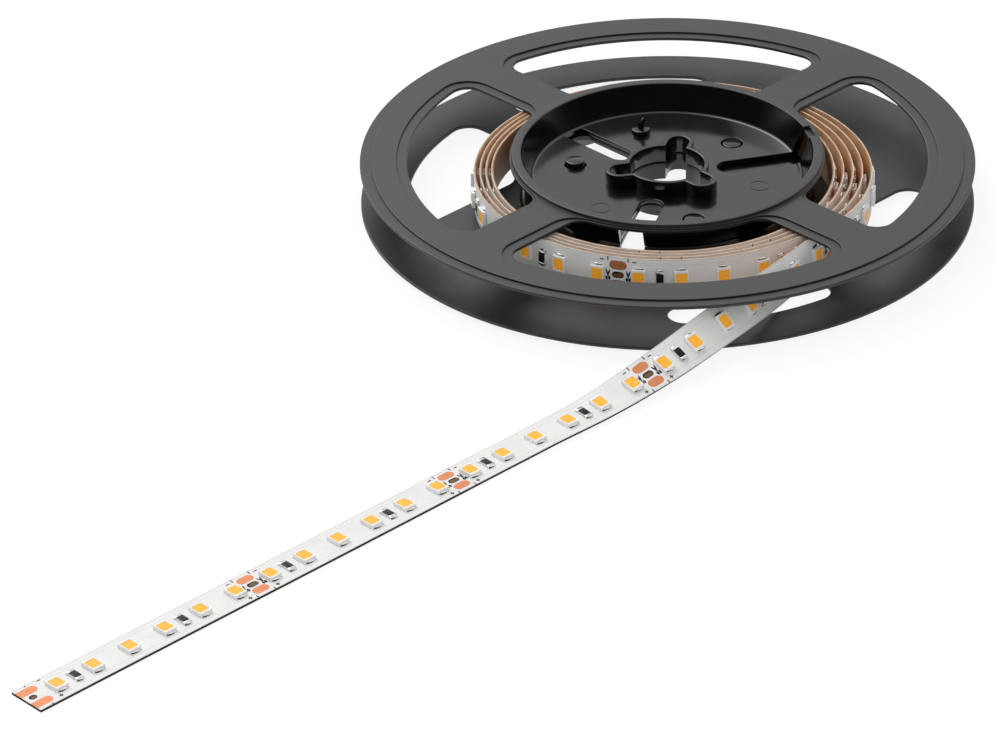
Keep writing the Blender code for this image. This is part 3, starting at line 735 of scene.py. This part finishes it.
def cutMark(bm, s):
    rim, ink = board["rim"] * 2, board["inkLift"]
    for side in (1, -1):
        long, wide = board["pad"]
        band(bm, obround(s, side * board["padAt"], long + rim, wide + rim), board["rimLift"], maskRim)
        band(bm, obround(s, side * board["padAt"], long, wide), board["copperLift"], copperPad)
    long, wide = board["hole"]
    moreLong, moreWide = board["holeRim"]
    dx, dy, less = board["holeSeen"]
    band(bm, obround(s, 0, long + moreLong, wide + moreWide), board["holeRimLift"], maskRim)
    # a nearly black ring of painted shade stands for the hole's wall round the tape seen through it
    band(bm, obround(s, 0, long, wide), ink, tapeEdgeAndPaintedShade)
    band(bm, obround(s + dx, dy, long - less, wide - less), board["holeTapeLift"], holeTape)
    for side in (1, -1):
        x, sign = s + side * marks["tickAt"], s + side * marks["signAt"]
        for w, long, wide in marks["ticks"]:
            band(bm, bar(x, w, long, wide), ink, markInk)
        w, long, wide = marks["minus"]
        band(bm, bar(sign, w, long, wide), ink, markInk)
        w, long, wide = marks["plus"]
        band(bm, bar(sign, w, long, wide), ink, markInk)
        band(bm, bar(sign, w, wide, long), marks["crossLift"], markInk)
        for k in (-1, 1):                  # small generic scissors, open blades and two loops
            blade = [(x + k * away, low, high) for away, low, high in marks["blade"]]
            band(bm, blade[::k], marks["bladeLifts"][k], markInk)
            away, w, long, wide = marks["loop"]
            band(bm, obround(x + k * away, w, long, wide), marks["loopLift"], markInk)


def cutEnd(bm):
    # two half pads and a hole beside the cut
    rim, long, wide = board["rim"], board["endPad"], board["pad"][1]
    for side in (1, -1):
        w = side * board["padAt"]
        band(bm, obround(long / 2 + rim / 2, w, long + rim, wide + 2 * rim, True), board["rimLift"], maskRim)
        band(bm, obround(long / 2, w, long - 0.02, wide, True), board["copperLift"], copperPad)
    s, w, long, wide = board["endHole"]
    band(bm, obround(s, w, long + rim, wide + rim), board["holeRimLift"], maskRim)
    # a nearly black ring of painted shade stands for the hole's wall round the tape seen through it
    band(bm, obround(s, w, long, wide), board["inkLift"], tapeEdgeAndPaintedShade)
    band(bm, obround(*board["endSeen"]), board["holeTapeLift"], holeTape)
    for mark in marks["cutEnd"]:
        band(bm, bar(*mark), board["inkLift"], markInk)


small = {"boxStep": 18.0, "domeRows": 4, "domeSides": 8}       # how finely boxes and solder are rounded


def roundedBox(x, y, radius):
    points = []
    for start, right, up in ((0, 1, 1), (90, -1, 1), (180, -1, -1), (270, 1, -1)):
        middle = (right * (x - radius), up * (y - radius))
        points += arc(middle, radius, start, start + 90, small["boxStep"])
    return points


def stack(bm, levels, put, slots):
    # rounded boxes joined upwards: levels are (half long, half wide, corner, height), put maps a point
    rings = [[bm.verts.new(put(x, y, z)) for x, y in roundedBox(*box)] for *box, z in levels]
    for a, b, slot in zip(rings, rings[1:], slots):
        for k in range(len(a)):
            n = (k + 1) % len(a)
            face = bm.faces.new((a[k], a[n], b[n], b[k]))
            face.material_index = slot
            face.smooth = True
    bm.faces.new(rings[0][::-1]).material_index = slots[0]
    bm.faces.new(rings[-1]).material_index = slots[-1]


def solderDome(bm, y, radii, side, put, slot):
    long, deep, high = radii
    rows = []
    for i in range(small["domeRows"] + 1):
        v = radians(90 * i / small["domeRows"])
        ring = []
        for k in range(small["domeSides"] + 1):
            a = radians(180 * k / small["domeSides"])
            x, off = long * cos(v) * cos(a), deep * cos(v) * sin(a)
            ring.append(bm.verts.new(put(x, y + side * off, high * sin(v))))
        rows.append(ring)
    for a, b in zip(rows, rows[1:]):
        for k in range(small["domeSides"]):
            corners = (a[k], a[k + 1], b[k + 1], b[k])
            face = bm.faces.new(corners if side > 0 else corners[::-1])
            face.material_index = slot
            face.smooth = True


chip = {
    "base": ((0.8, 1.55, 0.06, 0.03), (0.8, 1.55, 0.06, 0.42)),
    "glaze": ((0.72, 0.98, 0.1, 0.4), (0.72, 0.98, 0.1, 0.5), (0.64, 0.9, 0.1, 0.54)),
    "cap": ((0.82, 0.3, 0.08, 0.02), (0.82, 0.3, 0.08, 0.46), (0.74, 0.24, 0.08, 0.52)), "capAt": 1.29,
    "solder": (0.86, 0.42, 0.46), "solderAt": 1.56,
}


def resistor(bm, s):
    def put(x, y, z):
        return line.on(s + x, y, z)

    white, black, tin = slotOf[alumina], slotOf[resistorGlaze], slotOf[tinSolder]
    stack(bm, chip["base"], put, [white, white])
    stack(bm, chip["glaze"], put, [black, black, black])
    for side in (1, -1):
        stack(bm, chip["cap"], lambda x, y, z: put(x, side * chip["capAt"] + y, z), [tin, tin, tin])
        solderDome(bm, side * chip["solderAt"], chip["solder"], side, put, tin)


def ribbon(bm, start, end):
    uv = bm.loops.layers.uv.new("alongStrip")
    w, columns = strip["width"] / 2, strip["columns"]
    film, back = -strip["thickness"] * board["filmShare"], -strip["thickness"]
    spread = [w * (2 * k / columns - 1) for k in range(columns + 1)]
    section = [(x, 0.0) for x in spread] + [(w, film)] + [(x, back) for x in spread[::-1]] + [(-w, film)]
    # the side that faces the front on the free run and down on the turns takes the tape edge, painted nearly
    # black as shade
    layers = [solderMask] * columns + [filmEdge, paperEdge] + [linerPaper] * columns + [tapeEdgeAndPaintedShade, tapeEdgeAndPaintedShade]
    slots = [slotOf[mat] for mat in layers]
    full, gone = strip["swellEnds"]
    count = ceil((end - start) / strip["step"])
    rows = []
    for i in range(count + 1):
        s = start + (end - start) * i / count
        swell = 1 + strip["swell"] * min(max((gone - s) / (gone - full), 0.0), 1.0)
        rows.append((s, [bm.verts.new(line.on(s, y, h * swell)) for y, h in section]))
    for (sa, a), (sb, b) in zip(rows, rows[1:]):
        for i in range(len(section)):
            n = (i + 1) % len(section)
            face = bm.faces.new((a[i], b[i], b[n], a[n]))
            face.material_index = slots[i]
            face.smooth = True
            here, there = section[i][0], section[n][0]
            for loop, (u, v) in zip(face.loops, ((sa, here), (sb, here), (sb, there), (sa, there))):
                loop[uv].uv = (u * mm, v * mm)
    # the cut ends take the tape edge too, painted nearly black as shade
    for corners in (rows[0][1], rows[-1][1][::-1]):
        bm.faces.new(corners).material_index = slotOf[tapeEdgeAndPaintedShade]


def ledPlace(n):
    shift = strip["shift"] if n > strip["shiftAfter"] else 0.0
    return strip["firstLed"] + strip["pitch"] * (n - 1) + shift


room = line.length - strip["windingTail"] - strip["firstLed"] - strip["shift"]
lastLed = int(room / strip["pitch"]) + 1
markAfter = list(strip["freeMarks"]) + list(range(strip["marksFrom"], lastLed, strip["markEvery"]))
markPlaces = [(ledPlace(n) + ledPlace(n + 1)) / 2 for n in markAfter + [strip["shiftAfter"]]]
resistorAfter = list(range(1, strip["freeLeds"] + 1, strip["resistorEvery"]))
resistorAfter += list(range(strip["shiftAfter"] + 1, lastLed, strip["resistorEvery"]))
resistorPlaces = [ledPlace(n) + strip["pitch"] / 2 for n in resistorAfter]


def stripPiece(name, start, end, nodes):
    bm = bmesh.new()
    ribbon(bm, start, end)
    for s in markPlaces:
        if start + strip["markRoom"] < s < end - strip["markRoom"]:
            cutMark(bm, s)
    for s in resistorPlaces:
        if start < s < end:
            resistor(bm, s)
    if start == 0:
        cutEnd(bm)
    obj = finishMesh(name, bm, boardMaterials)
    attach(obj, "root")
    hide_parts(*nodes)
    return obj


freeStrip = stripPiece("freeStrip", 0.0, join, ["free_strip"] + [f"resistor_{k:02d}" for k in range(1, 9)])
stripPiece("woundStrip", join, line.length, ["wound_strip"])
print("strip, marks and resistors made")

# The LED packages
led = {"half": (1.4, 1.75), "height": 0.75, "foot": 0.03, "corner": 0.12, "chamfer": (0.05, 0.1),
       "window": (1.18, 1.31), "windowCorner": 0.4, "slope": (0.03, 0.02), "depth": 0.07,
       "solder": (1.08, 0.52, 0.46), "solderSink": 0.02}
ledMaterials = [ledHousing, phosphor, tinSolder]


def ledMatrix(n):
    point, run, across, outward = line.axes(ledPlace(n))
    turn = Matrix((run, across, outward)).transposed().to_4x4()
    return Matrix.Translation((point + outward * strip["thickness"] / 2) * mm) @ turn


def addLed(bm, n):
    turn = ledMatrix(n)

    def put(x, y, z):
        return turn @ (Vector((x, y, z)) * mm)

    (x, y), (wx, wy), h = led["half"], led["window"], led["height"]
    corner, (inset, drop), (slope, cornerLess) = led["corner"], led["chamfer"], led["slope"]
    housing, glow, tin = range(3)
    levels = [(x, y, corner, led["foot"]), (x, y, corner, h - drop), (x - inset, y - inset, corner, h),
              (wx, wy, led["windowCorner"], h),
              (wx - slope, wy - slope, led["windowCorner"] - cornerLess, h - led["depth"])]
    stack(bm, levels, put, [housing, housing, housing, housing, glow])
    for side in (1, -1):
        solderDome(bm, side * (y - led["solderSink"]), led["solder"], side, put, tin)


def finishLeds(name, numbers):
    bm = bmesh.new()
    for n in numbers:
        addLed(bm, n)
    obj = finishMesh(name, bm, ledMaterials)
    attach(obj, "root")
    return obj


def singleLed(n):
    obj = finishLeds(f"ledPackage{n:02d}", [n])
    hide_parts(f"led_{n:02d}")
    return obj


freeLeds = [singleLed(n) for n in range(1, strip["freeLeds"] + 1)]
shown = range(strip["shownLeds"][0], strip["shownLeds"][1] + 1)
for n in shown:
    singleLed(n)
finishLeds("woundLedPackages", [n for n in range(strip["freeLeds"] + 1, lastLed + 1) if n not in shown])
print(f"{lastLed} LED packages made")

# Floor and light: the sky is low in front of the object and bright behind and above it
studio = {"floorHalf": 6000.0, "floorDrop": 0.05,
          "floorWhite": "#f4f4f4", "floorSeen": "#6a6a6a", "floorGlow": 0.88,
          "sky": (0.43, 0.61), "glossSky": (0.03, 1.0), "skyTilt": 1.1, "skyReach": 0.6,
          "lamps": [("topBox", (-550.0, 600.0, 950.0), 900.0, 9.2, True),
                    ("frontFill", (200.0, -1100.0, 700.0), 800.0, 2.5, False)]}


def anyOf(tree, *sockets):
    found = sockets[0]
    for socket in sockets[1:]:
        found = addNode(tree, "ShaderNodeMath", links={0: found, 1: socket}, operation="MAXIMUM").outputs[0]
    return found


def makeFloor():
    bm = bmesh.new()
    bmesh.ops.create_grid(bm, x_segments=1, y_segments=1, size=studio["floorHalf"] * mm)
    floorMat = newMaterial("paperFloor", 0.9, specular=0.0)
    tree = floorMat.node_tree
    sockets = tree.nodes["Principled BSDF"].inputs
    paths = addNode(tree, "ShaderNodeLightPath").outputs
    # the camera, metal and gloss see a page nearly white by itself, with a faint shadow
    seen = anyOf(tree, paths["Is Camera Ray"], paths["Is Glossy Ray"], paths["Is Transmission Ray"])
    glow = addNode(tree, "ShaderNodeMath", {1: studio["floorGlow"]}, {0: seen}, operation="MULTIPLY")
    paper = addNode(tree, "ShaderNodeMix", {"A": srgb(studio["floorWhite"]), "B": srgb(studio["floorSeen"])},
                    {"Factor": seen}, data_type="RGBA")
    sockets["Emission Color"].default_value = (1, 1, 1, 1)
    tree.links.new(glow.outputs[0], sockets["Emission Strength"])
    tree.links.new(paper.outputs["Result"], sockets["Base Color"])
    floor = finishMesh("floor", bm, [floorMat])
    floor.location.z = -studio["floorDrop"] * mm


def makeSky():
    world = bpy.data.worlds.new("studioWorld")
    scene.world = world
    world.use_nodes = True
    tree = world.node_tree
    paths = addNode(tree, "ShaderNodeLightPath").outputs
    sphere = addNode(tree, "ShaderNodeTexCoord").outputs["Generated"]
    heading = addNode(tree, "ShaderNodeSeparateXYZ", links={"Vector": sphere}).outputs
    lift = addNode(tree, "ShaderNodeMath", {1: studio["skyTilt"]}, {0: heading["Z"], 2: heading["Y"]},
                   operation="MULTIPLY_ADD").outputs[0]

    def backdrop(low, high):
        reach = addNode(tree, "ShaderNodeMapRange",
                        {"From Min": 0.0, "From Max": studio["skyReach"], "To Min": low, "To Max": high},
                        {"Value": lift}, interpolation_type="SMOOTHSTEP")
        return reach.outputs["Result"]

    glossy = addNode(tree, "ShaderNodeMix",
                     links={"Factor": paths["Is Glossy Ray"], "A": backdrop(*studio["sky"]),
                            "B": backdrop(*studio["glossSky"])}).outputs["Result"]
    clear = anyOf(tree, paths["Is Camera Ray"], paths["Is Transmission Ray"])
    level = addNode(tree, "ShaderNodeMix", {"B": 1.0}, {"Factor": clear, "A": glossy})
    sockets = tree.nodes["Background"].inputs
    tree.links.new(level.outputs["Result"], sockets["Strength"])
    sockets["Color"].default_value = (1, 1, 1, 1)


def makeLamps():
    for name, place, size, power, inGloss in studio["lamps"]:
        data = bpy.data.lights.new(name, "AREA")
        data.shape = "SQUARE"
        data.size = size * mm
        data.energy = power
        lamp = bpy.data.objects.new(name, data)
        scene.collection.objects.link(lamp)
        lamp.location = Vector(place) * mm
        lamp.visible_glossy = inGloss      # the fill leaves no streak on the gloss
        lamp.rotation_euler = (-Vector(place)).to_track_quat("-Z", "Y").to_euler()


makeFloor()
makeSky()
makeLamps()
print("studio lit")
